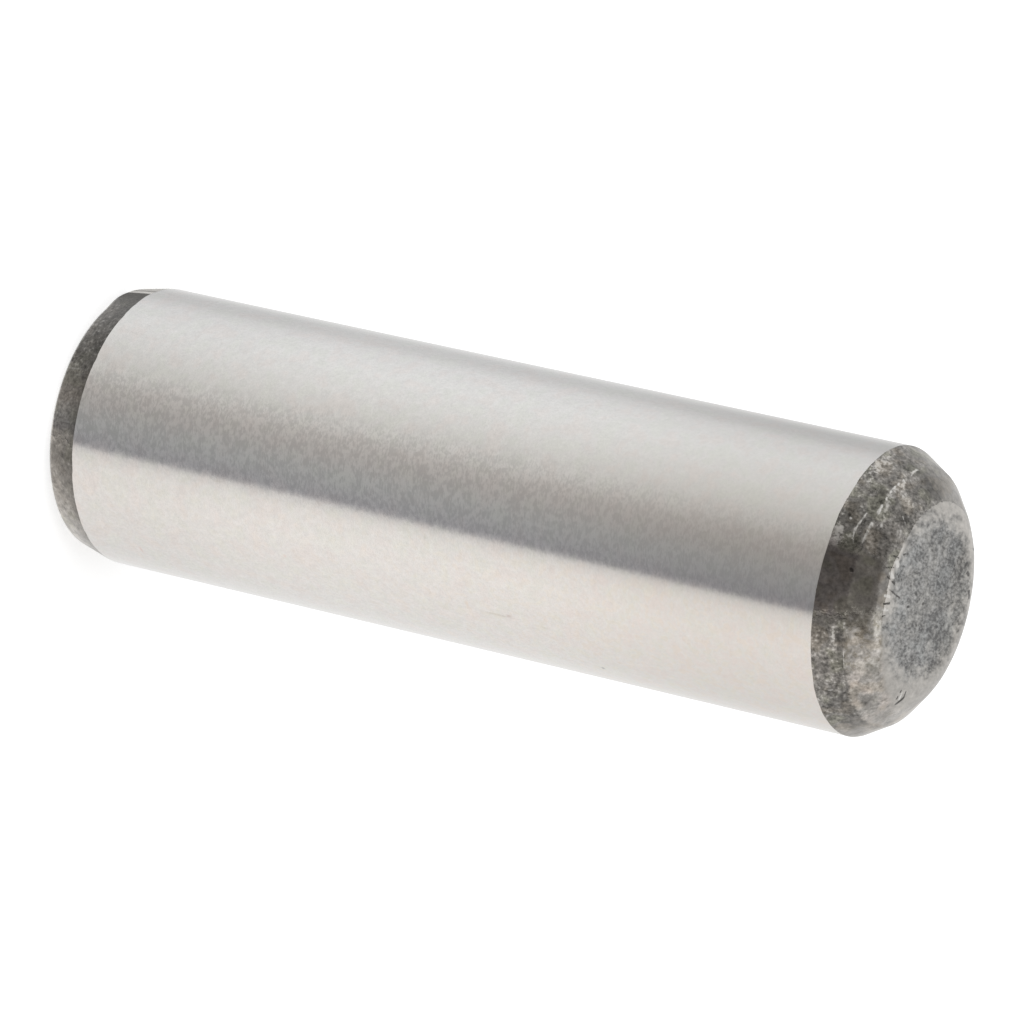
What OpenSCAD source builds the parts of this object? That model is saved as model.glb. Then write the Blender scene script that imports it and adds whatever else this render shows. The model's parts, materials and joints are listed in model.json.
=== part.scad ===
// Hardened dowel pin, one solid steel piece: a ground cylinder with a slim lead-in taper at
// its lower end and a domed upper end made of two bevels and a flat face. It stands on its
// lower end, with +Z along its axis and the origin at the centre of the lower face. Sizes in mm.

/* [Body] */
// Diameter of the ground body
pin_d = 10; // [8:0.5:20]
// Overall length, from the lower face to the upper face
pin_l = 32.5; // [10:0.5:100]

/* [Lead-in end] */
// Length of the lead-in taper at the lower end
lead_h = 1.2; // [0.4:0.05:2.5]
// Angle of the lead-in taper to the axis
lead_angle = 15; // [5:1:30]
// Radius that rounds the rim of the lower face
lead_rim_r = 0.1; // [0.05:0.05:0.5]

/* [Domed end] */
// Height of the first bevel, which starts at the ground body
bevel_h = 0.93; // [0.4:0.01:1.5]
// Angle of the first bevel to the axis
bevel_angle = 30; // [15:1:40]
// Height of the steep bevel, which leads to the upper face
dome_h = 0.88; // [0.5:0.01:1.5]
// Angle of the steep bevel to the axis
dome_angle = 50; // [45:1:60]
// Radius that rounds the crease between the two bevels
crease_r = 0.3; // [0.05:0.05:0.6]
// Radius of the soft roll from the steep bevel onto the upper face
top_rim_r = 1.5; // [0.2:0.1:2]

/* [Hidden] */

// Straight steps in each rounded stretch of the outline
arc_steps = 6;
// Facets around the pin in a plain mesh preview
round_steps = 96;
// Slope of the end faces to the axis
face_slope = 90;

pin_r = pin_d / 2;
// Radius at which each sloped stretch would meet the next one if the edge were sharp
lead_r = pin_r - lead_h * tan(lead_angle);
crease_at_r = pin_r - bevel_h * tan(bevel_angle);
top_r = crease_at_r - dome_h * tan(dome_angle);
// Height at which the ground body ends and the crease lies
ground_top = pin_l - dome_h - bevel_h;
crease_z = pin_l - dome_h;

// Unit vectors on the outline, for a stretch that leans in at slope a: along it and out of it
function along(a) = [-sin(a), cos(a)];
function outward(a) = [cos(a), sin(a)];

// Points that round the corner p, from a stretch of slope a0 to one of slope a1
function rounded(p, a0, a1, r) =
    let (centre = p - r * tan((a1 - a0) / 2) * along(a0) - r * outward(a0))
    [for (i = [0:arc_steps]) centre + r * outward(a0 + (a1 - a0) * i / arc_steps)];

// Half outline of the pin, from the centre of the lower face round to that of the upper face
function pin_outline() = concat(
    [[0, 0]],
    rounded([lead_r, 0], -face_slope, -lead_angle, lead_rim_r),
    [[pin_r, lead_h], [pin_r, ground_top]],
    rounded([crease_at_r, crease_z], bevel_angle, dome_angle, crease_r),
    rounded([top_r, pin_l], dome_angle, face_slope, top_rim_r),
    [[0, pin_l]]
);

// The whole pin, turned from bar stock, hardened and ground
module dowel_pin() {
    color([0.76, 0.75, 0.73])
        rotate_extrude($fn = round_steps)
            polygon(pin_outline());
}

dowel_pin();
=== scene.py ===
import json
import math

import bmesh
import bpy
from mathutils import Matrix, Vector, noise


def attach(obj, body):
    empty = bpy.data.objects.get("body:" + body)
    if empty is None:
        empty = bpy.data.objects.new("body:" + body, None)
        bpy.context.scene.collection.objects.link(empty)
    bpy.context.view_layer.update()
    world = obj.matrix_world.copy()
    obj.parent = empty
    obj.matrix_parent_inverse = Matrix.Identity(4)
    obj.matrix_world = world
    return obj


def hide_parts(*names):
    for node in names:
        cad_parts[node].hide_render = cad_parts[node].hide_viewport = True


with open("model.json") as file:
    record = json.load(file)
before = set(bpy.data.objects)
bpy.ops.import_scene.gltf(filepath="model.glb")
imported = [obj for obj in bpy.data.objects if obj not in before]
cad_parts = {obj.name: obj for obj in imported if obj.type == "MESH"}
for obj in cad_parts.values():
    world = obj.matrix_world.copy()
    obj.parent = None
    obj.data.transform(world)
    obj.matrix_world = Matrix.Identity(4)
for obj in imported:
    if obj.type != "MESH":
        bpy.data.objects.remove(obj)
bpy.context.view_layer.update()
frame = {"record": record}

# The pin's form
# One piece of hardened steel, turned from bar with a slim lead-in taper at its lower end and two
# bevels at its upper end. Only the body is ground, so both ends keep the uneven skin that the
# furnace left, and the grinding stops in a slightly ragged line where the skin falls below it.
MM = 0.001
mounts = {mount["name"]: mount for mount in frame["record"]["mounts"]}
pin_r = mounts["ground_body"]["dims"]["r_mm"]
pin_l = mounts["upper_face"]["pos_m"][2] / MM

# Heights of the sloped stretches in mm, their angles to the axis, and the radii between them
lead_h = 1.2
bevel_h = 0.93
dome_h = 0.88
taper_lean = math.radians(15)
bevel_lean = math.radians(30)
dome_lean = math.radians(50)
flat_lean = math.radians(90)
lead_rim_r = 0.1
crease_r = 0.3
top_rim_r = 1.5

crease_z = pin_l - dome_h
ground_top = crease_z - bevel_h
lead_r = pin_r - lead_h * math.tan(taper_lean)
crease_at_r = pin_r - bevel_h * math.tan(bevel_lean)
face_r = crease_at_r - dome_h * math.tan(dome_lean)

# How far apart the rings of points are, in mm: fine near the ragged lines, and wide on the body
body_step = 3.6
lower_face_step = 0.4
taper_step = 0.055
skin_step = 0.042
roll_step = 0.034
face_step = 0.075
fine_step = 0.022
fine_reach = 0.11
hub_r = 0.04
columns = 504


def evenly(start, end, step):
    """Points from start towards end, about a step apart, without the end itself."""
    pieces = max(1, round(math.dist(start, end) / step))
    shares = [i / pieces for i in range(pieces)]
    return [tuple(a + (b - a) * share for a, b in zip(start, end)) for share in shares]


def rounded(corner, lean_in, lean_out, radius, step):
    """Points round a corner of the outline, from a stretch of one slope to the next."""
    back = radius * math.tan((lean_out - lean_in) / 2)
    centre_r = corner[0] + back * math.sin(lean_in) - radius * math.cos(lean_in)
    centre_z = corner[1] - back * math.cos(lean_in) - radius * math.sin(lean_in)
    pieces = max(2, round(radius * (lean_out - lean_in) / step))
    leans = [lean_in + (lean_out - lean_in) * i / pieces for i in range(pieces + 1)]
    return [(centre_r + radius * math.cos(a), centre_z + radius * math.sin(a)) for a in leans]


def outline():
    """Half outline of the pin from the lower face's centre to the upper face's, in mm."""
    lower_rim = rounded((lead_r, 0), -flat_lean, -taper_lean, lead_rim_r, 0.03)
    crease = rounded((crease_at_r, crease_z), bevel_lean, dome_lean, crease_r, 0.026)
    upper_rim = rounded((face_r, pin_l), dome_lean, flat_lean, top_rim_r, roll_step)
    inwards, rises = fine_reach * math.sin(taper_lean), fine_reach * math.cos(taper_lean)
    taper_near = (pin_r - inwards, lead_h - rises)
    inwards, rises = fine_reach * math.sin(bevel_lean), fine_reach * math.cos(bevel_lean)
    bevel_near = (pin_r - inwards, ground_top + rises)
    taper_top = (pin_r, lead_h)
    body_top = (pin_r, ground_top)
    body_low = (pin_r, lead_h + fine_reach)
    body_high = (pin_r, ground_top - fine_reach)
    stretches = [
        evenly((hub_r, 0), lower_rim[0], lower_face_step),
        lower_rim[:-1],
        evenly(lower_rim[-1], taper_near, taper_step),
        evenly(taper_near, taper_top, fine_step),
        evenly(taper_top, body_low, fine_step),
        evenly(body_low, body_high, body_step),
        evenly(body_high, body_top, fine_step),
        evenly(body_top, bevel_near, fine_step),
        evenly(bevel_near, crease[0], skin_step),
        crease[:-1],
        evenly(crease[-1], upper_rim[0], skin_step),
        upper_rim[:-1],
        evenly(upper_rim[-1], (hub_r, pin_l), face_step),
        [(hub_r, pin_l)],
    ]
    return [point for stretch in stretches for point in stretch]


def lumps(place, size, seed):
    """Smooth noise from -1 to 1 whose lumps are about a size across, at a place in mm."""
    return noise.noise(Vector(place) / size + Vector((seed * 17.3, seed * 5.1, seed * 11.7)))


def blend(value, start, end):
    """0 below start, 1 above end, and smooth between."""
    share = min(1, max(0, (value - start) / (end - start)))
    return share * share * (3 - 2 * share)


# Radius of the upper face's edge, in mm, at angles round the pin in degrees from the front
face_edge = [
    (-180, 3.62),
    (-120, 3.52),
    (-88, 3.43),
    (-70, 3.38),
    (-50, 3.365),
    (-34, 3.32),
    (-26, 3.33),
    (-16, 3.40),
    (-8, 3.36),
    (2, 3.32),
    (12, 3.34),
    (30, 3.29),
    (45, 3.37),
    (64, 3.52),
    (90, 3.68),
    (180, 3.62),
]


def edge_radius(turn):
    """Radius of the upper face's edge at an angle, which wanders a little as the skin chips."""
    for (turn_0, r_0), (turn_1, r_1) in zip(face_edge, face_edge[1:]):
        if turn <= turn_1:
            return r_0 + (r_1 - r_0) * blend(turn, turn_0, turn_1)
    return face_edge[-1][1]


# Scars on the upper end, as short strokes. Each runs from one place to another, given as the angle
# round the pin in degrees and the way along the outline from the crease to the face in mm. Then
# come its width and the height of its lip in mm. A negative lip is a cut or a pit.
scars = [
    (-72, 0.01, -67.5, -0.01, 0.09, 0.010),
    (-67, 0.03, -64.5, 0.08, 0.07, 0.007),
    (-61.2, -0.12, -60, 0.10, 0.10, 0.007),
    (-58.6, 0.10, -56.4, 0.16, 0.10, 0.005),
    (-55.6, 0.19, -53, 0.17, 0.09, 0.005),
    (-58.4, 0.03, -57, 0.04, 0.09, 0.010),
    (-54.6, 0.00, -53.2, 0.01, 0.09, 0.012),
    (-51.6, -0.01, -47.4, -0.02, 0.09, 0.012),
    (-46.2, 0.03, -45.2, 0.05, 0.10, 0.007),
    (-44, 0.08, -42.6, 0.14, 0.12, 0.005),
    (-43.6, -0.01, -42.4, 0.00, 0.08, 0.011),
    (-40.4, 0.19, -39.4, 0.15, 0.12, 0.005),
    (-38.8, 0.01, -37.8, 0.00, 0.09, 0.013),
    (-36.2, 0.01, -34.2, 0.01, 0.13, 0.024),
    (-30.6, 0.32, -29.8, 0.33, 0.10, 0.011),
    (-28.4, -0.01, -26, -0.01, 0.12, 0.018),
    (-24.2, -0.03, -20.2, -0.04, 0.10, 0.013),
    (-19.4, -0.03, -18.2, -0.04, 0.06, 0.008),
    (-31.6, -0.31, -27.6, -0.36, 0.07, 0.010),
    (-27, -0.37, -23, -0.43, 0.07, 0.014),
    (-22.6, -0.44, -19.8, -0.41, 0.07, 0.012),
    (-19.2, -0.40, -16.6, -0.30, 0.06, 0.006),
    (-26.4, -0.72, -26.2, -0.71, 0.11, 0.014),
    (-22.8, -0.27, -22.6, -0.17, 0.07, 0.007),
    (-47.6, 0.62, -46.4, 0.80, 0.07, 0.004),
    (-45.2, 0.92, -44.2, 1.14, 0.06, 0.005),
    (-42.4, 0.80, -40.2, 1.04, 0.06, 0.008),
    (16.8, -0.03, 18.8, -0.03, 0.08, 0.009),
    (19.8, 0.07, 20.3, 0.08, 0.08, 0.010),
    (18.6, -0.39, 22.8, -0.36, 0.11, 0.007),
    (23.4, -0.33, 26.6, -0.35, 0.09, 0.005),
    (29.5, -0.02, 38, -0.03, 0.055, 0.0075),
    (45, -0.69, 45.2, -0.53, 0.07, 0.006),
    (48.4, -0.68, 48.7, -0.50, 0.07, 0.007),
    (52.9, -0.71, 53.2, -0.53, 0.07, 0.006),
    (56.9, -0.62, 57.1, -0.48, 0.07, 0.005),
    (69.8, 0.05, 72, -0.02, 0.08, 0.004),
    (-18.9, 1.46, -17.6, 1.54, 0.24, 0.011),
    (-10.6, 1.37, -9.4, 1.47, 0.24, 0.012),
    (-3.5, 1.40, -3.0, 1.43, 0.14, 0.011),
    (1.9, 1.34, 2.2, 1.58, 0.13, 0.011),
    (10.2, 1.38, 10.4, 1.60, 0.16, 0.009),
    (-27.8, 1.42, -26.8, 1.42, 0.18, 0.008),
    (-6.15, -0.12, -5.85, -0.09, 0.14, -0.032),
    (-20.6, 1.20, -21.6, 1.47, 0.07, -0.014),
    (-12.2, 0.98, -15.2, 1.41, 0.06, -0.010),
    (-8.6, 1.26, -6.4, 1.70, 0.11, -0.022),
    (-2.8, 1.34, 2.2, 2.40, 0.07, -0.010),
    (6.6, 1.35, 6.2, 1.66, 0.08, -0.012),
    (-25.5, 1.60, -30.2, 1.88, 0.07, -0.010),
    (14.0, 1.36, 13.6, 1.50, 0.07, -0.010),
    (-12, 1.80, -12.4, 1.86, 0.09, -0.012),
    (-12, 2.08, -11.6, 2.12, 0.09, -0.014),
    (-12.7, 2.92, -12.7, 2.96, 0.08, -0.014),
    (-8, 3.48, -8, 3.54, 0.10, -0.015),
    (11, 3.05, 11, 3.15, 0.11, -0.016),
    (12.4, 4.20, 12.4, 4.26, 0.13, -0.015),
    (-106, 3.75, -106, 3.79, 0.09, -0.012),
    (-132, 2.76, -137, 2.92, 0.07, -0.016),
    (-139, 2.98, -142, 3.08, 0.06, 0.007),
    (-145, 2.04, -145.6, 2.12, 0.16, -0.013),
    (-153, 1.98, -155, 1.88, 0.18, -0.015),
    (-168, 1.72, -171, 1.64, 0.22, -0.012),
    (-161, 1.86, -162, 1.80, 0.10, 0.008),
    (-141, 1.38, -144, 1.22, 0.08, -0.014),
    (85.7, 1.60, 86.3, 1.40, 0.10, -0.030),
    (86.3, 1.40, 83.4, 1.14, 0.12, -0.032),
    (81.6, 1.50, 82.4, 1.28, 0.12, 0.012),
    (79, 1.56, 79.1, 1.50, 0.09, -0.020),
    (79.3, 1.32, 79.5, 1.26, 0.10, -0.020),
    (82.2, 1.10, 82.6, 1.06, 0.09, -0.020),
    (102, 0.16, 106, 0.24, 0.10, 0.008),
    (-103, 0, -99, 0.02, 0.09, 0.008),
]
full_lip = 0.012

# Clouds in the skin of the upper end: the place as above, the reach round the pin and along the
# way in mm, and how much paler, or darker below 0, the skin is there.
clouds = [
    (-80, -0.90, 0.40, 0.20, 0.4),
    (-72, -0.15, 0.44, 0.16, -0.4),
    (-70, -0.42, 0.34, 0.42, -0.8),
    (-62, -0.85, 0.40, 0.22, 0.3),
    (-55, -0.95, 0.36, 0.10, 0.8),
    (-54, -0.66, 0.44, 0.26, 0.1),
    (-54, -0.20, 0.42, 0.22, -0.7),
    (-38, -0.20, 0.60, 0.20, -0.8),
    (-31, -0.85, 0.40, 0.20, -0.6),
    (-24, -0.58, 0.30, 0.20, -0.5),
    (-22, -0.20, 0.50, 0.10, -0.5),
    (-20, -0.94, 0.20, 0.14, 1.0),
    (-15, -0.90, 0.22, 0.18, 1.35),
    (-14, -0.12, 0.30, 0.12, 0.35),
    (10, -0.12, 0.30, 0.12, 0.35),
    (-11, -0.72, 0.36, 0.34, -0.4),
    (17, -0.75, 0.30, 0.26, -0.6),
    (22, -0.38, 0.34, 0.11, 0.7),
    (26, -0.15, 0.50, 0.14, -0.7),
    (36, -0.75, 0.40, 0.26, -0.3),
    (52, -0.60, 0.60, 0.24, -0.3),
    (55, -0.20, 0.60, 0.20, -0.4),
    (67, -0.42, 0.80, 0.42, -0.4),
    (80, -0.90, 0.50, 0.20, 0.2),
    (-74, 0.80, 0.90, 0.50, -0.5),
    (-80, 0.25, 0.36, 0.18, -0.35),
    (-58, 0.28, 0.26, 0.12, -0.35),
    (-52, 0.50, 0.34, 0.26, 0.45),
    (-43, 0.20, 0.26, 0.10, 0.35),
    (-43, 0.85, 0.18, 0.34, -0.9),
    (-44, 0.36, 0.30, 0.14, -0.6),
    (-59, 0.55, 0.16, 0.30, -0.6),
    (-33, 0.28, 0.40, 0.10, 0.6),
    (-28, 0.70, 0.60, 0.30, -0.5),
    (-21, 0.26, 0.24, 0.12, 0.5),
    (14, 1.05, 0.40, 0.22, 0.4),
    (22, 0.36, 0.24, 0.18, 0.5),
    (26, 0.90, 0.36, 0.20, -0.4),
    (35, 0.55, 0.50, 0.50, 0.1),
    (45, 0.90, 0.24, 0.22, -0.4),
    (61, 0.38, 0.46, 0.26, -0.4),
    (55, 0.80, 0.50, 0.40, 0.1),
    (70, 0.10, 0.50, 0.12, 0.4),
    # The narrow pale strips right on the crease are partly rubbed steel and partly a painted
    # highlight where the crease catches the light.
    (-68, 0.00, 0.36, 0.06, 0.8),
    (-56, 0.13, 0.36, 0.07, 0.8),
    (-48, 0.04, 0.44, 0.07, 0.9),
    (-40, 0.16, 0.26, 0.06, 0.8),
    (-22, -0.03, 0.40, 0.05, 0.6),
    (24, 0.00, 0.90, 0.04, 0.3),
    (-9, 1.24, 0.80, 0.14, -0.7),
    (8, 1.24, 0.50, 0.14, -0.5),
    (24, 1.20, 0.60, 0.14, 0.5),
    (-44, 1.05, 0.20, 0.20, -0.4),
    (-58, 3.70, 0.20, 0.60, 0.5),
    (-28, 3.10, 0.16, 0.50, 0.4),
    (-125, 2.90, 0.40, 0.40, -0.3),
    (25, 3.05, 0.50, 0.40, 0.35),
    (65, 3.96, 0.40, 0.40, 0.4),
    (155, 3.96, 0.40, 0.40, -0.4),
    (-65, 3.96, 0.40, 0.40, -0.3),
    (160, 2.20, 0.50, 0.50, 0.5),
    (175, 1.90, 0.30, 0.40, 0.4),
    (95, 1.35, 0.20, 0.30, 0.5),
]


def near_way(marks, way, spread):
    """The scars or clouds whose stretch of the way, made larger by a spread, holds a place."""
    return [mark for mark in marks if abs(way - mark[1]) < spread(mark)]


def scar_at(turn, way, radius, near):
    """Rise of the nearby scars at a place, in mm, and how much they show, from -1 to 1."""
    rise = 0
    shown = 0
    for from_turn, from_way, to_turn, to_way, width, lip in near:
        ahead_x, ahead_y = math.radians(to_turn - from_turn) * radius, to_way - from_way
        here_x, here_y = math.radians(turn - from_turn) * radius, way - from_way
        length_squared = ahead_x * ahead_x + ahead_y * ahead_y
        share = min(1, max(0, (here_x * ahead_x + here_y * ahead_y) / (length_squared + 1e-9)))
        off = math.hypot(here_x - ahead_x * share, here_y - ahead_y * share) / (width / 2)
        if off < 3:
            rise += lip * math.exp(-off * off)
            shown += max(-1, min(1, lip / full_lip)) * math.exp(-off * off)
    return rise, max(-1, min(1, shown))


def cloud_at(turn, way, radius, near):
    """How much paler the nearby clouds make the skin at a place, or darker where it is below 0."""
    paler = 0
    for at_turn, at_way, reach_round, reach_up, amount in near:
        beside = math.radians(turn - at_turn) * radius / reach_round
        up = (way - at_way) / reach_up
        paler += amount * math.exp(-beside * beside - up * up)
    return paler


# Unevenness of the ends in mm: how much fuller one side of the taper is at its foot, how far the
# steep bevel lies back where it meets a sharp stretch of the face's edge, and how far the grainy
# middle of the face is sunk
taper_fuller = 0.1
bevel_back = 0.012
face_sunk = 0.008


def skin_rise(place, turn, radius, height):
    """How far the skin of the ends stands above the outline at a place, in mm."""
    broad, middling, fine = lumps(place, 0.7, 1), lumps(place, 0.21, 2), lumps(place, 0.1, 3)
    waves = 0.004 * broad + 0.0015 * middling + 0.0008 * fine
    if height < pin_l / 2:
        full_side = blend(turn, -50, -65) * (1 - blend(turn, -110, -125))
        return waves + taper_fuller * full_side * max(0, 1 - height / lead_h) ** 0.8
    cap = edge_radius(turn) - radius
    if cap < 0:
        near = blend(cap, -0.5, 0) * (1 - blend(turn, -50, -25) + blend(turn, 110, 150))
        return waves - bevel_back * near
    grains = 0.007 * lumps(place, 0.24, 4) + 0.004 * lumps(place, 0.11, 5)
    return (grains - face_sunk) * blend(cap, 0.05, 0.5) + waves


# How strongly that unevenness moves the lines where the grinding stops at the upper and the lower
# end, and how much more it shows in the skin right beside the upper line
upper_line_ragged = 3.5
lower_line_ragged = 2
beside_line_ragged = 1.5
# The upper line lies lower on one side, because the bevel is a little off centre: by how much the
# ground radius is smaller there, in mm, and the angle round the pin of the middle of that side
off_centre = 0.011
off_centre_turn = -80
# A length in mm that counts as nothing
hair = 0.001


def turned_pin():
    """The pin's mesh: the outline carried round the axis, with the unevenness of its ends."""
    rings = outline()
    ways = [0.0]
    for start, end in zip(rings, rings[1:]):
        ways.append(ways[-1] + math.dist(start, end))
    crease_way = next(way for way, (r, z) in zip(ways, rings) if z > crease_z)
    shape = bmesh.new()
    cap_layer = shape.verts.layers.float.new("cap")
    scar_layer = shape.verts.layers.float.new("scar")
    cloud_layer = shape.verts.layers.float.new("cloud")
    rows = []
    for index, (radius, height) in enumerate(rings):
        before, after = rings[max(index - 1, 0)], rings[min(index + 1, len(rings) - 1)]
        run = Vector(after) - Vector(before)
        run.normalize()
        way = ways[index] - crease_way
        near_scars = near_way(scars, way, lambda scar: abs(scar[3] - scar[1]) + 2 * scar[4])
        near_clouds = near_way(clouds, way, lambda cloud: 3 * cloud[3])
        low_end = height < lead_h + fine_reach + fine_step
        high_end = height > ground_top - fine_reach - fine_step
        row = []
        for column in range(columns):
            turn = 360 * column / columns - 180
            side = Vector((math.sin(math.radians(turn)), -math.cos(math.radians(turn)), 0))
            place = side * radius + Vector((0, 0, height))
            r, z, shown = radius, height, 0
            if low_end or high_end:
                rise = skin_rise(place, turn, radius, height)
            if high_end:
                scar_rise, shown = scar_at(turn, way, radius, near_scars)
                if scar_rise:
                    rise += scar_rise * max(0, 0.35 + 1.4 * lumps(place, 0.12, 6))
            if radius > pin_r - hair and high_end:
                past_line = (ground_top - height) * math.tan(bevel_lean)
                lower = off_centre * max(0, math.cos(math.radians(turn - off_centre_turn)))
                r = min(pin_r, pin_r + past_line + upper_line_ragged * rise - lower)
            elif radius > pin_r - hair and low_end:
                past_line = (height - lead_h) * math.tan(taper_lean)
                r = min(pin_r, pin_r + past_line + lower_line_ragged * rise)
            elif low_end or high_end:
                near = max(0, 1 - abs(height - ground_top) / fine_reach)
                r = min(pin_r, radius + run.y * rise * (1 + beside_line_ragged * near))
                z = min(pin_l, max(0, height - run.x * rise))
            vertex = shape.verts.new((side * r + Vector((0, 0, z))) * MM)
            vertex[cap_layer] = edge_radius(turn) - radius if high_end else -1
            vertex[scar_layer] = shown
            vertex[cloud_layer] = cloud_at(turn, way, radius, near_clouds) if high_end else 0
            row.append(vertex)
        rows.append(row)
    for lower, upper in zip(rows, rows[1:]):
        for column in range(columns):
            beside = (column + 1) % columns
            shape.faces.new((lower[column], lower[beside], upper[beside], upper[column]))
    shape.faces.new(list(reversed(rows[0])))
    shape.faces.new(rows[-1])
    mesh = bpy.data.meshes.new("pin_turned")
    shape.to_mesh(mesh)
    shape.free()
    for face in mesh.polygons:
        face.use_smooth = True
    return mesh


pin = bpy.data.objects.new("pin_turned", turned_pin())
bpy.context.collection.objects.link(pin)


# The pin's finish
# The body is centreless ground: bright, with fine marks round it and a faint mottle. The two
# bevels and the taper keep a dark brown-grey furnace skin, speckled where bare steel shows, and
# the upper face is a grainy grey with a paler, smoother rim.
class Value:
    """A socket of a material, which adds the Math nodes of any sum that it stands in."""

    def __init__(self, tree, socket):
        self.tree = tree
        self.socket = socket

    def node(self, kind, settings=None, sockets=None, output=0):
        return add_node(self.tree, kind, settings, sockets, output)

    def maths(self, operation, *terms):
        return self.node("ShaderNodeMath", {"operation": operation}, dict(enumerate(terms)))

    def __add__(self, other):
        return self.maths("ADD", self, other)

    def __radd__(self, other):
        return self.maths("ADD", other, self)

    def __sub__(self, other):
        return self.maths("SUBTRACT", self, other)

    def __rsub__(self, other):
        return self.maths("SUBTRACT", other, self)

    def __mul__(self, other):
        return self.maths("MULTIPLY", self, other)

    def __rmul__(self, other):
        return self.maths("MULTIPLY", other, self)

    def __truediv__(self, other):
        return self.maths("DIVIDE", self, other)

    def __pow__(self, other):
        return self.maths("POWER", self, other)

    def __rpow__(self, other):
        return self.maths("POWER", other, self)

    def step(self, start, end):
        """0 below start, 1 above end, and smooth between."""
        reach = {"Value": self, "From Min": start, "From Max": end}
        return self.node("ShaderNodeMapRange", {"interpolation_type": "SMOOTHSTEP"}, reach)

    def between(self, start, end, soft):
        """1 from start to end and 0 outside, with edges that are soft across."""
        return self.step(start - soft, start + soft) * (1 - self.step(end - soft, end + soft))

    def pick(self, low, high):
        """Low where this value is 0 and high where it is 1, for numbers."""
        return self.node("ShaderNodeMix", {"data_type": "FLOAT"}, {0: self, 2: low, 3: high})

    def times(self, colour):
        """This colour, multiplied by another one."""
        return self.node("ShaderNodeVectorMath", {"operation": "MULTIPLY"}, {0: self, 1: colour})

    def scaled(self, factor):
        """This colour or place, made larger by a number."""
        return self.node("ShaderNodeVectorMath", {"operation": "SCALE"}, {0: self, "Scale": factor})

    def tint(self, low, high):
        """The colour low where this value is 0 and the colour high where it is 1."""
        return self.node("ShaderNodeMix", {"data_type": "RGBA"}, {0: self, 6: low, 7: high}, 2)


def add_node(tree, kind, settings=None, sockets=None, output=0):
    """Adds a node with its settings, then the values or links of its sockets."""
    node = tree.nodes.new(kind)
    for name, setting in (settings or {}).items():
        if name == "stops":
            set_stops(node.color_ramp, setting)
        else:
            setattr(node, name, setting)
    for name, value in (sockets or {}).items():
        socket = node.inputs[name]
        if isinstance(value, Value):
            tree.links.new(value.socket, socket)
        elif socket.type == "RGBA" and len(value) == 3:
            socket.default_value = (*value, 1)
        else:
            socket.default_value = value
    return Value(tree, node.outputs[output]) if node.outputs else None


def set_stops(ramp, stops):
    """Gives a colour ramp its stops, as pairs of a place from 0 to 1 and a colour."""
    while len(ramp.elements) < len(stops):
        ramp.elements.new(1)
    for element, (place, colour) in zip(ramp.elements, stops):
        element.position = place
        element.color = (*colour, 1)


def new_material(name):
    material = bpy.data.materials.new(name)
    material.use_nodes = True
    material.node_tree.nodes.clear()
    return material


STEEL_LOW = (0.70, 0.692, 0.68)
STEEL_HIGH = (0.85, 0.838, 0.822)
PINKISH = (1.01, 0.975, 0.962)
GREENISH = (0.98, 1.0, 0.965)
STEEL_WARM = (0.765, 0.742, 0.715)
AMBER = (1.01, 0.985, 0.95)
BARE_FLECK_AND_HIGHLIGHT = (0.60, 0.585, 0.56)
BARE_LIP_AND_GLINT = (0.70, 0.685, 0.655)
CUT = (0.06, 0.057, 0.053)
OLIVE = (0.98, 1.0, 0.92)
UMBER = (1.0, 0.965, 0.91)
ROSE = (1.0, 0.94, 0.92)
STAIN = (0.94, 0.90, 0.80)
SMOKY = (1.01, 0.985, 1.02)
COOL = (0.95, 0.98, 1.0)
FACE_PIT = (0.095, 0.094, 0.092)
FACE_PALE = (0.43, 0.424, 0.41)
RIM_GREY = (0.38, 0.363, 0.338)
RIM_PALE_AND_SHEEN = (0.60, 0.57, 0.53)

finish = new_material("pin_steel_finish")
tree = finish.node_tree
spot = add_node(tree, "ShaderNodeTexCoord", output=3)
spot = spot.scaled(1 / MM)


def grain(size, detail=2.0, stretch=(1, 1, 1), shift=0.0, coarse=0.5, start=spot):
    """Smooth noise from 0 to 1 with lumps about a size across, in mm, drawn out by stretch."""
    scale = tuple(1 / (size * longer) for longer in stretch)
    sockets = {"Vector": start, "Location": (shift,) * 3, "Scale": scale}
    place = add_node(tree, "ShaderNodeMapping", {}, sockets)
    sockets = {"Vector": place, "Scale": 1.0, "Detail": detail, "Roughness": coarse}
    return add_node(tree, "ShaderNodeTexNoise", {}, sockets)


def painted(name):
    """A number that the mesh carries at each of its points."""
    return add_node(tree, "ShaderNodeAttribute", {"attribute_name": name}, {}, 2)


across, along, height = (add_node(tree, "ShaderNodeSeparateXYZ", {}, {0: spot}, i) for i in range(3))
radius = (across * across + along * along) ** 0.5
turn = across.maths("ARCTAN2", across, 0 - along) * math.degrees(1)
cap, scar, cloud = painted("cap"), painted("scar"), painted("cloud")

# Ground body: the grinding leaves fine streaks that wind round it at a slight slant
slant = math.radians(11.2)
sockets = {"Vector": spot, "Angle": slant}
lay = add_node(tree, "ShaderNodeVectorRotate", {"rotation_type": "Y_AXIS"}, sockets)
streaks = grain(0.055, 1.0, (3, 0.75, 1), start=lay)
mottle = grain(0.14, 2.0, (1.5, 0.75, 1), 7, start=lay)
blush = grain(0.7, 2.0, (1, 1, 1), 13)
dull = grain(0.35, 1.0, (1, 1, 1), 17)
grit = (streaks - 0.5) * 0.8 + (mottle - 0.5) * 0.9 + (dull - 0.5) * 0.55
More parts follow.
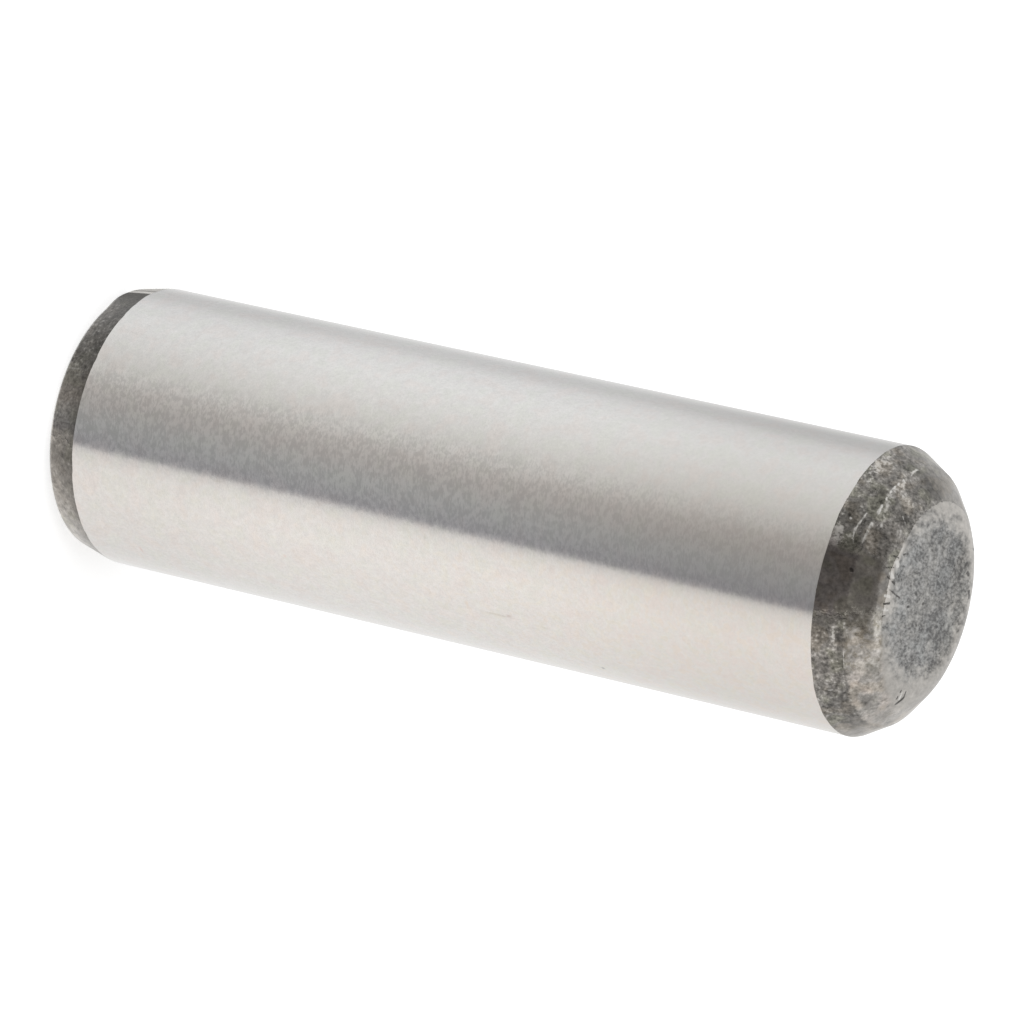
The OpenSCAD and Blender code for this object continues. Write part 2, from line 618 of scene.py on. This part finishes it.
# Painted light: in the dim band down the front, where the steel reflects the tent's opening, the
# mottle is painted about four times stronger, standing in for light that the fine marks scatter
# there.
dim_reflection_band = turn.between(-18, 13, 6)
steel = (0.5 + grit * dim_reflection_band.pick(1, 3.9)).tint(STEEL_LOW, STEEL_HIGH)
steel = (height.step(16, 28) * 0.5).tint(steel, STEEL_WARM)
steel = (blush.step(0.5, 0.64) * dim_reflection_band.pick(0.7, 0.3)).tint(steel, steel.times(PINKISH))
steel = (blush.step(0.5, 0.36) * dim_reflection_band.pick(0.6, 0.4)).tint(steel, steel.times(GREENISH))
tinge = grain(0.32, 1.0, (1, 0.8, 1), 47)
tinged = turn.between(16, 164, 4) * height.step(8, 24).pick(0.5, 1)
steel = (tinge.step(0.5, 0.62) * tinged).tint(steel, steel.times(AMBER))
steel = (tinge.step(0.5, 0.38) * tinged * 0.6).tint(steel, steel.times(PINKISH))

# Small marks on the body: the angle round the pin and the height of each one, its reach round the
# pin and along it in mm, how strong it is, and its colour
body_marks = [
    (67.5, 22.03, 0.045, 0.055, 0.9, (0.24, 0.235, 0.23)),
    (46.0, 18.89, 0.050, 0.090, 0.42, (0.42, 0.30, 0.25)),
    (46.8, 18.45, 0.045, 0.550, 0.33, (0.45, 0.41, 0.36)),
    (44.7, 17.24, 0.130, 0.060, 0.3, (0.75, 0.56, 0.38)),
    (59.0, 3.47, 0.180, 0.060, 0.3, (0.70, 0.44, 0.37)),
    (42.0, 9.92, 0.060, 0.060, 0.3, (0.75, 0.45, 0.40)),
    (15.5, 7.25, 0.050, 0.220, 0.16, (0.42, 0.40, 0.29)),
    (18.8, 15.73, 0.080, 0.060, 0.25, (0.42, 0.42, 0.30)),
    (48.0, 20.27, 0.050, 0.250, 0.15, (0.45, 0.41, 0.36)),
]


def marked(surface, marks):
    """The colour of a surface with soft marks, which fade to about a third at their reach."""
    for at_turn, at_height, reach_round, reach_up, strength, colour in marks:
        beside = (turn - at_turn) * (math.radians(pin_r) / reach_round)
        above = (height - at_height) / reach_up
        surface = (0.37 ** (beside * beside + above * above) * strength).tint(surface, colour)
    return surface


steel = marked(steel, body_marks)
# Painted shade: the steel is darker towards both ends of the body, where its reflected highlight is
# weaker.
steel = steel.scaled(0.95 + 0.06 * height.between(7, 24, 5))
steel_rough = 0.13 + 0.06 * mottle
steel_microns = streaks * 0.4 + mottle * 0.7

# Skin: its tone changes round the pin on each slope, and noise breaks it up into specks and blots
low_bevel_tones = [
    (-110, 0.42),
    (-80, 0.36),
    (-58, 0.265),
    (-44, 0.245),
    (-26, 0.225),
    (-12, 0.24),
    (9, 0.29),
    (23, 0.245),
    (50, 0.24),
    (70, 0.25),
    (84, 0.27),
    (110, 0.42),
]
high_bevel_tones = [
    (-150, 0.42),
    (-110, 0.34),
    (-80, 0.225),
    (-70, 0.205),
    (-58, 0.245),
    (-44, 0.235),
    (-26, 0.29),
    (-12, 0.335),
    (-2, 0.345),
    (9, 0.46),
    (20, 0.385),
    (34, 0.375),
    (50, 0.37),
    (66, 0.395),
    (80, 0.36),
    (110, 0.42),
]
taper_tones = [
    (-150, 0.35),
    (-110, 0.28),
    (-69, 0.13),
    (-58, 0.13),
    (-42, 0.14),
    (-28, 0.095),
    (-14, 0.15),
    (0, 0.31),
    (10, 0.24),
    (20, 0.155),
    (36, 0.27),
    (52, 0.34),
    (66, 0.37),
    (84, 0.35),
]
scale_tones = [
    (-110, 0.6),
    (-74.5, 0.62),
    (-73.8, 0.32),
    (-72.2, 0.32),
    (-71.5, 0.86),
    (-69.8, 0.86),
    (-69, 0.15),
    (-56, 0.16),
]


def by_turn(tones, angle=turn, green=0.95, blue=0.885):
    """A grey whose tone follows the angle round the pin."""
    stops = [(at / 360 + 0.5, (tone, tone * green, tone * blue)) for at, tone in tones]
    return add_node(tree, "ShaderNodeValToRGB", {"stops": stops}, {0: angle / 360 + 0.5})


# Noise of the skin, from fine specks to broad patches
drawn = (1, 1.4, 1)
specks = grain(0.1, 2.0, drawn, 3, 0.6)
blots = grain(0.21, 2.0, drawn, 5, 0.6)
patches = grain(0.5, 2.0, drawn, 9)
hues = grain(0.7, 1.0, drawn, 31)
strokes = grain(0.1, 1.0, (1, 1, 5), 37)

# Where the skin differs: past the crease, on the taper, in the smooth patch at the front of the
# pin, where it is well broken up, and in a strip beside the smooth patch, where painted shade
# softens the edge of the dim reflection
on_crease = (height + 0.2 * (blots - 0.5)).step(crease_z - 0.06, crease_z + 0.06)
at_low_end = 1 - height.step(lead_h, lead_h + 1)
calm = (turn + 14 * (blots - 0.5) + 3 * on_crease * turn.step(-6, 6)).between(-14.5, 13.5, 2)
lively = turn.between(-80, 72, 14) * (1 - calm) * (1 - 0.7 * at_low_end)
lively = lively * (1 - on_crease * turn.step(-15, 15).pick(0.3, 0.62))
painted_shade_strip = turn.between(12, 17, 3) * (1 - on_crease) * (1 - at_low_end)
lively = lively * (1 - 0.6 * painted_shade_strip)

# Its tones, with the taper paler towards its foot and streaked, and a painted highlight in a thin
# pale line round the rim of its foot
skin = on_crease.tint(by_turn(low_bevel_tones), by_turn(high_bevel_tones))
streaky = (strokes * 2) ** turn.between(12.5, 165, 7.5).pick(0.18, 0.05)
taper = by_turn(taper_tones).scaled((1.57 - 0.62 * height) * streaky)
skin = at_low_end.tint(skin, taper)
# Painted highlight: a thin pale line round the rim of the taper's foot, brighter on one side.
skin = (height.step(0.14, 0.04) * (0.35 + 0.35 * turn.between(-63, -48, 4))).tint(skin, BARE_FLECK_AND_HIGHLIGHT)

# Its tinges: olive, brown, rosy and yellowish
coloured = 1 - 0.5 * at_low_end
rosy = on_crease * turn.between(38, 84, 8)
olive = hues.step(0.52, 0.64) * coloured * (1 - 0.7 * on_crease * turn.between(4, 164, 8))
skin = olive.tint(skin, skin.times(OLIVE))
skin = (hues.step(0.48, 0.36) * (1 - 0.75 * at_low_end)).tint(skin, skin.times(UMBER))
skin = ((patches.step(0.46, 0.6) * 0.5 + 0.1) * rosy).tint(skin, skin.times(ROSE))
stained = (blots + 0.5 * (patches - 0.5)).step(0.5, 0.4) * on_crease * turn.between(14, 42, 6)
skin = (stained * 0.6).tint(skin, skin.times(STAIN))

# How it is broken up by the noise, down to bare flecks
contrast = 0.4 + 0.85 * lively + 0.12 * calm * (1 - on_crease)
contrast = contrast + 0.3 * on_crease * turn.between(-66, -16, 6)
contrast = contrast + at_low_end * turn.between(12.5, 165, 7.5).pick(0.3, -0.22)
broken = (specks * 2) ** contrast
broken = broken * (blots * 2) ** (0.4 + 0.55 * lively)
broken = broken * (patches * 2) ** (calm.pick(0.75, 0.5) - 0.35 * at_low_end)
# Painted shade: the skin is darkened in the strip beside the smooth patch, to soften the edge of the
# dim reflection there.
skin = skin.scaled(broken * 2.0 ** cloud * (1 - 0.25 * painted_shade_strip * turn.step(12, 15)))
bare = (specks + 0.6 * (blots - 0.5) + 0.3 * cloud).step(0.6, 0.72) * lively * 0.55
skin = bare.tint(skin, BARE_FLECK_AND_HIGHLIGHT)
skin = (calm * (1 - on_crease) * (1 - at_low_end)).tint(skin, skin.times(SMOKY))
skin_rough = calm.pick(0.25, 0.13) + 0.06 * blots

# Thin pale strokes and flecks across the taper
taper_marks = [
    (-17.2, 0.30, 0.030, 0.40, 0.30, BARE_FLECK_AND_HIGHLIGHT),
    (-14.5, 0.65, 0.035, 0.12, 0.25, BARE_FLECK_AND_HIGHLIGHT),
    (5.6, 0.70, 0.035, 0.34, 0.32, BARE_FLECK_AND_HIGHLIGHT),
    (3.2, 0.45, 0.030, 0.16, 0.25, BARE_FLECK_AND_HIGHLIGHT),
    (-2.0, 0.62, 0.060, 0.060, 0.5, BARE_FLECK_AND_HIGHLIGHT),
    (-4.2, 0.70, 0.045, 0.045, 0.5, BARE_FLECK_AND_HIGHLIGHT),
    (-6.5, 0.55, 0.050, 0.040, 0.4, BARE_FLECK_AND_HIGHLIGHT),
    (-43.0, 0.45, 0.050, 0.060, 0.4, BARE_FLECK_AND_HIGHLIGHT),
    (-36.5, 0.60, 0.050, 0.050, 0.4, BARE_FLECK_AND_HIGHLIGHT),
    (44.0, 0.75, 0.120, 0.050, 0.3, BARE_FLECK_AND_HIGHLIGHT),
    (54.0, 0.35, 0.160, 0.080, 0.25, BARE_FLECK_AND_HIGHLIGHT),
]
skin = marked(skin, taper_marks)

# Upper face, grainy in the middle, and paler and smoother at its rim
raked = (1, 2, 1)
pits = grain(0.1, 2.0, raked, 21, 0.6)
clots = grain(0.26, 2.0, raked, 23, 0.6)
drifts = grain(0.8, 2.0, raked, 27)
middle_across = (across + 0.1) / 2.85
middle_along = (along + 0.1) / 3.25
out = (middle_across * middle_across + middle_along * middle_along) ** 0.5
out = out * (1 - 0.12 * turn.between(-62, -14, 8) - 0.1 * turn.between(20, 58, 8))
rim = (out + 0.4 * (clots - 0.5) + 0.4 * (drifts - 0.5)).step(0.78, 1.1)
shade = (pits - 0.5) * 1.85 + (clots - 0.5) * 1.7 + (drifts - 0.5) * 0.9
# Painted shade: the face is darker towards its far side, away from the camera.
face = (0.42 + shade - along * 0.035 + cloud * 0.3).tint(FACE_PIT, FACE_PALE)
face = (along.step(0.6, 2.4) * 0.7).tint(face, face.times(UMBER))
face = (hues.step(0.52, 0.62) * 0.6).tint(face, face.times(COOL))
face = (hues.step(0.48, 0.38) * 0.3).tint(face, face.times(UMBER))
rim_shade = 0.5 - 0.35 * turn.between(20, 150, 20) + shade * 0.55 + cloud * 0.5
rim_tone = rim_shade.tint(RIM_GREY, RIM_PALE_AND_SHEEN)
face = (rim * 0.95).tint(face, rim_tone)
from_edge = (cap + 0.4 * (clots - 0.5) + 0.15 * (pits - 0.5)).step(0.06, 0.2)
front_rim = turn.between(-32, 14, 4) * (1 - from_edge)
face = (front_rim * 0.75).tint(face, RIM_PALE_AND_SHEEN)
edge_soft = turn.between(25, 100, 12).pick(0.03, 0.3)
on_face = ((cap + 0.1 * (specks - 0.5)) / edge_soft + 0.5).step(0, 1)
skin = on_face.tint(skin, face)
skin_rough = on_face.pick(skin_rough, 0.34)
# Painted sheen: the skin is paled where it turns edge-on, towards the silhouette.
edge_on_for_sheen = add_node(tree, "ShaderNodeLayerWeight", {}, {"Blend": 0.5}, 1)
skin = (edge_on_for_sheen.step(0.82, 1.0) * (1 - at_low_end)).tint(skin, RIM_PALE_AND_SHEEN)

# Scars: pale lips and dark cuts, ragged at their edges. The pale lips are partly bare steel and
# partly a painted glint where the lips catch the light
ragged = scar * 2 * specks
skin = (ragged.step(0.25, 0.85) * 0.85).tint(skin, BARE_LIP_AND_GLINT)
skin = ((0 - ragged).step(0.25, 0.65) * 0.9).tint(skin, CUT)
skin_microns = (blots * 7 + specks * 3) * calm.pick(1, 0.25) + on_face * (pits * 9 + clots * 11)

# The grinding shows wherever the mesh reaches the full radius, to a few microns
ground = radius.step(pin_r - 0.004, pin_r - 0.001)
colour = ground.tint(skin, steel)
micron = 0.001 * MM
sockets = {"Distance": micron, "Height": ground.pick(skin_microns, steel_microns)}
bump = add_node(tree, "ShaderNodeBump", {}, sockets)
rough = ground.pick(skin_rough, steel_rough)
sockets = {"Base Color": colour, "Metallic": 1.0, "Roughness": rough, "Normal": bump}
metal = add_node(tree, "ShaderNodeBsdfPrincipled", {}, sockets)

# One side of the taper is dulled by matt scale, in strips that slant a little as they rise
strip_slant = 2.5
scaled_turn = turn - strip_slant * height
scale_colour = by_turn(scale_tones, scaled_turn, 0.975, 0.93)
scale = add_node(tree, "ShaderNodeBsdfDiffuse", {}, {"Color": scale_colour})
scaled_side = at_low_end * (1 - ground)
scaled_side = scaled_side * scaled_turn.step(-56, -65) * scaled_turn.step(-112, -86) * 0.88
pin_surface = add_node(tree, "ShaderNodeMixShader", {}, {0: scaled_side, 1: metal, 2: scale})
add_node(tree, "ShaderNodeOutputMaterial", {}, {"Surface": pin_surface})

pin.data.materials.append(finish)
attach(pin, "root")
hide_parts("dowel_pin")

# Floor
# A plain pale sheet that the pin stands on. It takes the pin's soft shadow. To the camera it is
# lifted to plain white, and the steel sees the white of the tent round it in its place.
floor_half = 1.5
sheet = bmesh.new()
bmesh.ops.create_grid(sheet, x_segments=1, y_segments=1, size=floor_half)
floor_mesh = bpy.data.meshes.new("floor")
sheet.to_mesh(floor_mesh)
sheet.free()
floor = bpy.data.objects.new("floor", floor_mesh)
bpy.context.collection.objects.link(floor)
floor.visible_glossy = False

floor_finish = new_material("floor_white")
floor_tree = floor_finish.node_tree
seen = add_node(floor_tree, "ShaderNodeLightPath", output=0)
paper = add_node(floor_tree, "ShaderNodeBsdfDiffuse", {}, {"Color": (0.8, 0.8, 0.8, 1)})
lift = add_node(floor_tree, "ShaderNodeEmission", {}, {"Strength": seen * 0.45})
floor_surface = add_node(floor_tree, "ShaderNodeAddShader", {}, {0: paper, 1: lift})
add_node(floor_tree, "ShaderNodeOutputMaterial", {}, {"Surface": floor_surface})
floor.data.materials.append(floor_finish)

# Light tent and lamps
# The pin stands in a white tent that is open towards the camera, so a dim band lies down the
# middle of the steel. One side of the opening is a clean edge, and the cloth fades into the other.
tent = bpy.data.worlds.new("light_tent")
tent.use_nodes = True
tent.node_tree.nodes.clear()
sky = tent.node_tree
bpy.context.scene.world = tent
look = add_node(sky, "ShaderNodeTexCoord", output=0)
look_x, look_y, look_z = (add_node(sky, "ShaderNodeSeparateXYZ", {}, {0: look}, i) for i in range(3))

# Tones below the horizon, by half the angle round from the camera: where the body shows them
low_tones = [
    (-90, (0.94, 0.94, 0.94)),
    (-82, (0.83, 0.83, 0.83)),
    (-73, (0.675, 0.68, 0.685)),
    (-66, (0.70, 0.70, 0.705)),
    (-58, (0.86, 0.862, 0.87)),
    (-46, (0.925, 0.93, 0.93)),
    (-34, (0.875, 0.87, 0.86)),
    (-24, (0.775, 0.765, 0.745)),
    (-17, (0.67, 0.655, 0.635)),
    (-11, (0.545, 0.52, 0.50)),
    (-5, (0.475, 0.455, 0.442)),
    (3, (0.425, 0.427, 0.425)),
    (9, (0.385, 0.385, 0.395)),
    (13.7, (0.315, 0.31, 0.335)),
    (14.7, (0.82, 0.80, 0.78)),
    (20, (0.95, 0.925, 0.90)),
    (30, (1.0, 0.97, 0.945)),
    (48, (0.95, 0.925, 0.905)),
    (66, (0.90, 0.89, 0.88)),
    (90, (0.94, 0.94, 0.94)),
]
around = look_x.maths("ARCTAN2", look_x, 0 - look_y) * (0.5 / math.pi) + 0.5
stops = [((angle + 90) / 180, tone) for angle, tone in low_tones]
low = add_node(sky, "ShaderNodeValToRGB", {"stops": stops}, {0: around})
deeper = 1 + 0.3 * look_z.step(-0.475, -0.44)
low = add_node(sky, "ShaderNodeGamma", {}, {"Color": low, "Gamma": deeper})

# Tones above the horizon, by how far a direction leans to the side, in front of the pin
high_tones = [
    (-1.0, (1.0, 1.0, 1.0)),
    (-0.88, (0.92, 0.92, 0.91)),
    (-0.72, (0.66, 0.66, 0.65)),
    (-0.55, (0.5, 0.49, 0.48)),
    (-0.43, (0.42, 0.41, 0.40)),
    (-0.39, (0.26, 0.25, 0.24)),
    (0.34, (0.26, 0.25, 0.24)),
    (0.43, (0.75, 0.73, 0.71)),
    (0.6, (0.95, 0.93, 0.91)),
    (1.0, (1.0, 0.98, 0.97)),
]
stops = [((lean + 1) / 2, tone) for lean, tone in high_tones]
high = add_node(sky, "ShaderNodeValToRGB", {"stops": stops}, {0: look_x * 0.5 + 0.5})
in_front = look_y.step(0.25, -0.1)
high = in_front.tint((0.97, 0.97, 0.97), high)
cloth = look_z.step(-0.05, 0.1).tint(low, high)

camera_ray = add_node(sky, "ShaderNodeLightPath", output=0)
glossy_ray = add_node(sky, "ShaderNodeLightPath", output=3)
shown = camera_ray.tint(glossy_ray.tint((0.75, 0.75, 0.75), cloth), (1, 1, 1))
back = add_node(sky, "ShaderNodeBackground", {}, {"Color": shown, "Strength": 1.0})
add_node(sky, "ShaderNodeOutputWorld", {}, {"Surface": back})


def soft_lamp(name, place, size, watts):
    """A large square lamp that faces the pin."""
    lamp = bpy.data.lights.new(name, "AREA")
    lamp.size = size
    lamp.energy = watts
    holder = bpy.data.objects.new(name, lamp)
    holder.location = place
    holder.rotation_euler = (-Vector(place)).to_track_quat("-Z", "Y").to_euler()
    holder.visible_glossy = False
    bpy.context.collection.objects.link(holder)


soft_lamp("lamp_over", (-0.35, -0.2, 0.65), 0.5, 1.6)
soft_lamp("lamp_side", (0.5, -0.3, 0.4), 0.5, 0.7)

# Camera
# It looks down on the standing pin from the photograph's angle and is rolled on its side, so the
# pin lies across the picture with its domed end to the right.
camera_place = Vector((0, -201.2306, 125.5449)) * MM
looks_at = Vector((0.1334, 0.1209, 16.1677)) * MM
roll = math.radians(102.72)
camera_data = bpy.data.cameras.new("camera")
camera_data.lens = 232.63
camera_data.sensor_width = 36
camera = bpy.data.objects.new("camera", camera_data)
camera.location = camera_place
aim = (looks_at - camera_place).to_track_quat("-Z", "Y").to_matrix()
camera.rotation_euler = (aim @ Matrix.Rotation(roll, 3, "Z")).to_euler()
bpy.context.collection.objects.link(camera)
bpy.context.scene.camera = camera
bpy.context.scene.view_settings.view_transform = "Standard"
